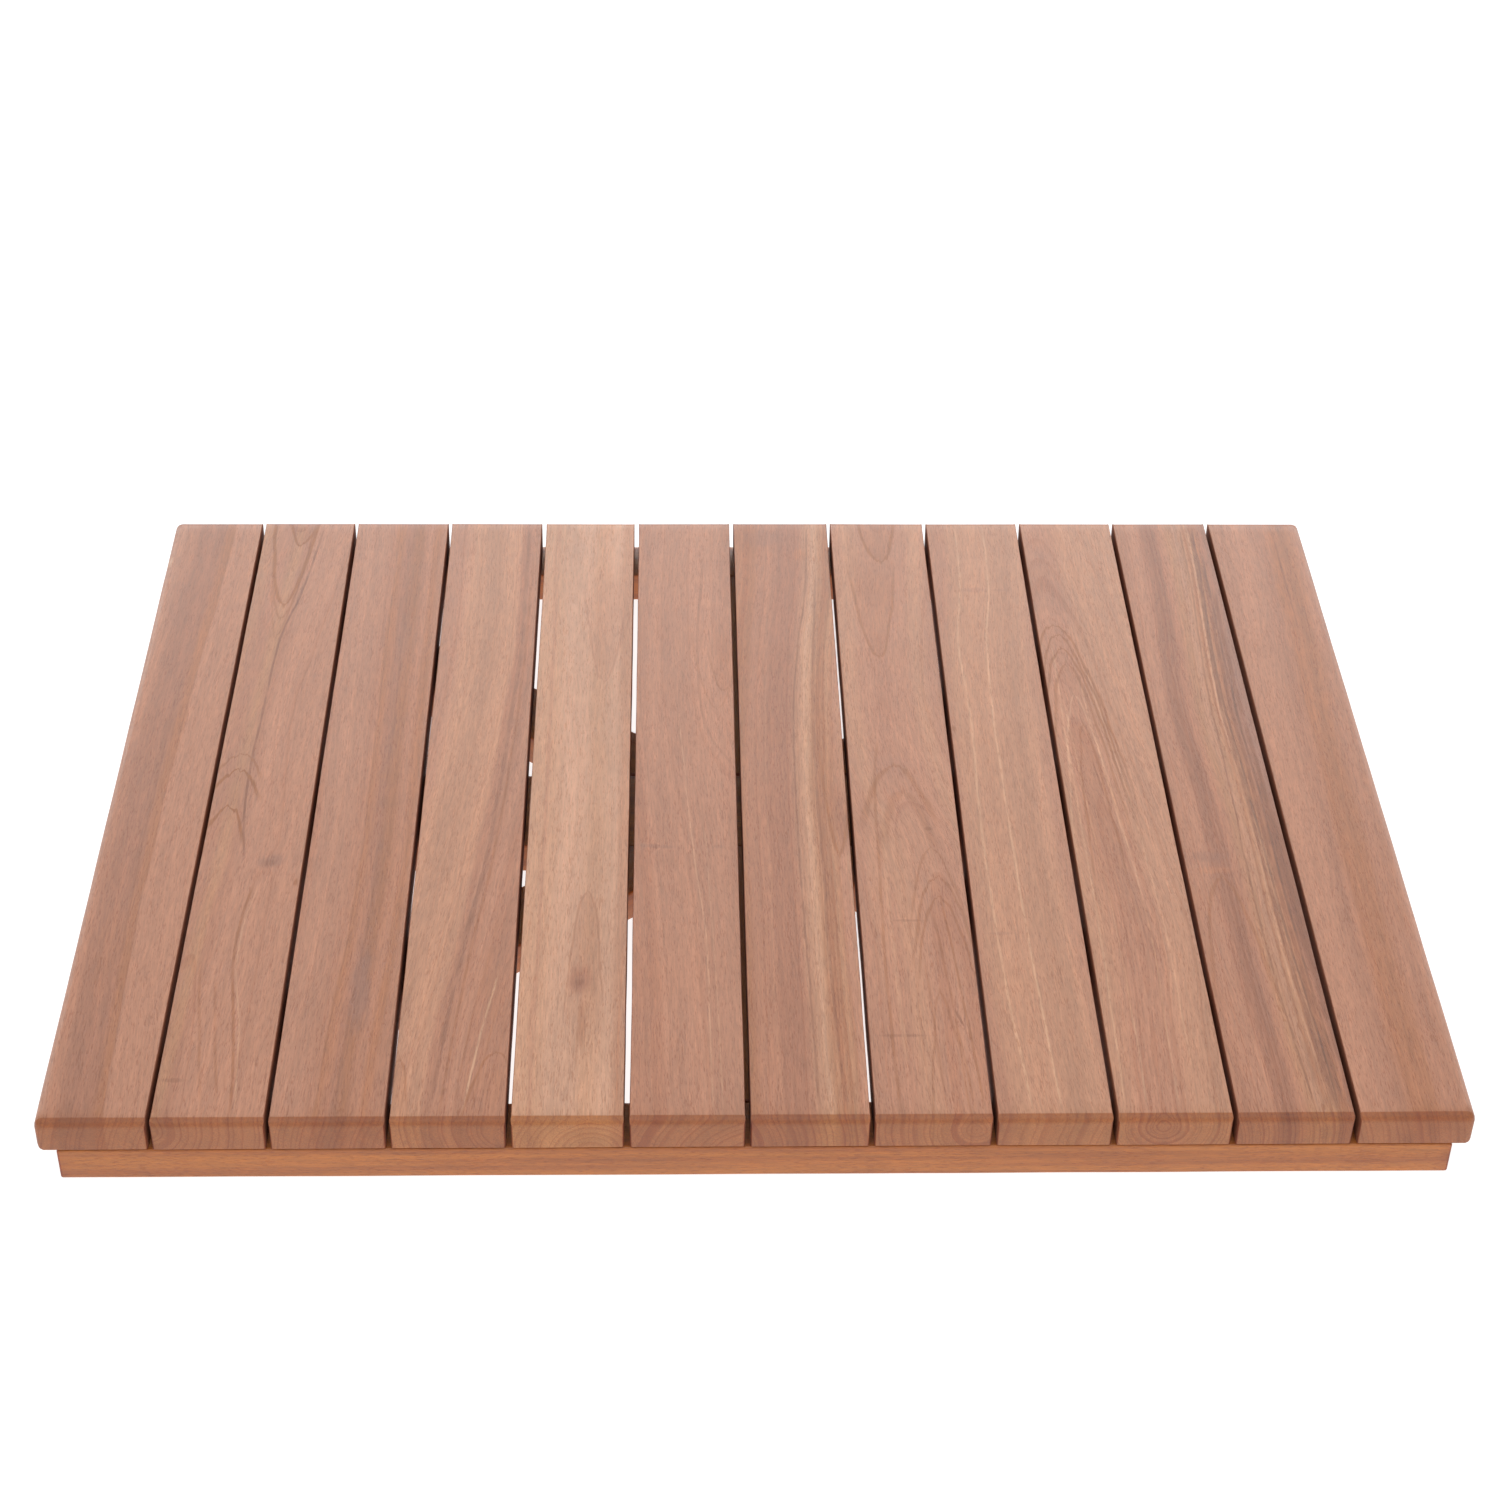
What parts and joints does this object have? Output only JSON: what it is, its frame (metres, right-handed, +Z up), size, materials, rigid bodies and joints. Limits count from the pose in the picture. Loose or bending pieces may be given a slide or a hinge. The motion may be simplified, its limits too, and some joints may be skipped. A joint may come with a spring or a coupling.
{
  "type": "bath mat",
  "caption": "Rectangular slatted teak bath mat: flat parallel boards with narrow drain gaps on a low screwed frame with diagonal braces.",
  "frame": {"origin": "centre of the mat's outline, on the floor under the frame", "axes": "+X along the long side, across the boards; +Y along the boards; +Z up, out of the standing surface"},
  "size_m": [0.6096, 0.4572, 0.033],
  "materials": {
    "board_teak": "sanded, dry, matt",
    "frame_teak": "planed, dry, matt",
    "screw_steel": "satin"
  },
  "bodies": {
    "root": {"brace_front_left": "frame_teak", "brace_front_right": "frame_teak", "brace_rear_left": "frame_teak", "brace_rear_right": "frame_teak", "front_rail": "frame_teak", "middle_rail": "frame_teak", "rear_rail": "frame_teak", "screw_brace_front_left_03": "screw_steel", "screw_brace_front_left_05": "screw_steel", "screw_brace_front_right_08": "screw_steel", "screw_brace_front_right_10": "screw_steel", "screw_brace_rear_left_03": "screw_steel", "screw_brace_rear_left_05": "screw_steel", "screw_brace_rear_right_08": "screw_steel", "screw_brace_rear_right_10": "screw_steel", "screw_front_01": "screw_steel", "screw_front_02": "screw_steel", "screw_front_03": "screw_steel", "screw_front_04": "screw_steel", "screw_front_05": "screw_steel", "screw_front_06": "screw_steel", "screw_front_07": "screw_steel", "screw_front_08": "screw_steel", "screw_front_09": "screw_steel", "screw_front_10": "screw_steel", "screw_front_11": "screw_steel", "screw_front_12": "screw_steel", "screw_middle_02": "screw_steel", "screw_middle_04": "screw_steel", "screw_middle_09": "screw_steel", "screw_middle_11": "screw_steel", "screw_rear_01": "screw_steel", "screw_rear_02": "screw_steel", "screw_rear_03": "screw_steel", "screw_rear_04": "screw_steel", "screw_rear_05": "screw_steel", "screw_rear_06": "screw_steel", "screw_rear_07": "screw_steel", "screw_rear_08": "screw_steel", "screw_rear_09": "screw_steel", "screw_rear_10": "screw_steel", "screw_rear_11": "screw_steel", "screw_rear_12": "screw_steel", "screw_spine_front": "screw_steel", "screw_spine_rear": "screw_steel", "slat_01": "board_teak", "slat_02": "board_teak", "slat_03": "board_teak", "slat_04": "board_teak", "slat_05": "board_teak", "slat_06": "board_teak", "slat_07": "board_teak", "slat_08": "board_teak", "slat_09": "board_teak", "slat_10": "board_teak", "slat_11": "board_teak", "slat_12": "board_teak", "spine_front": "frame_teak", "spine_rear": "frame_teak"}
  },
  "joints": []
}
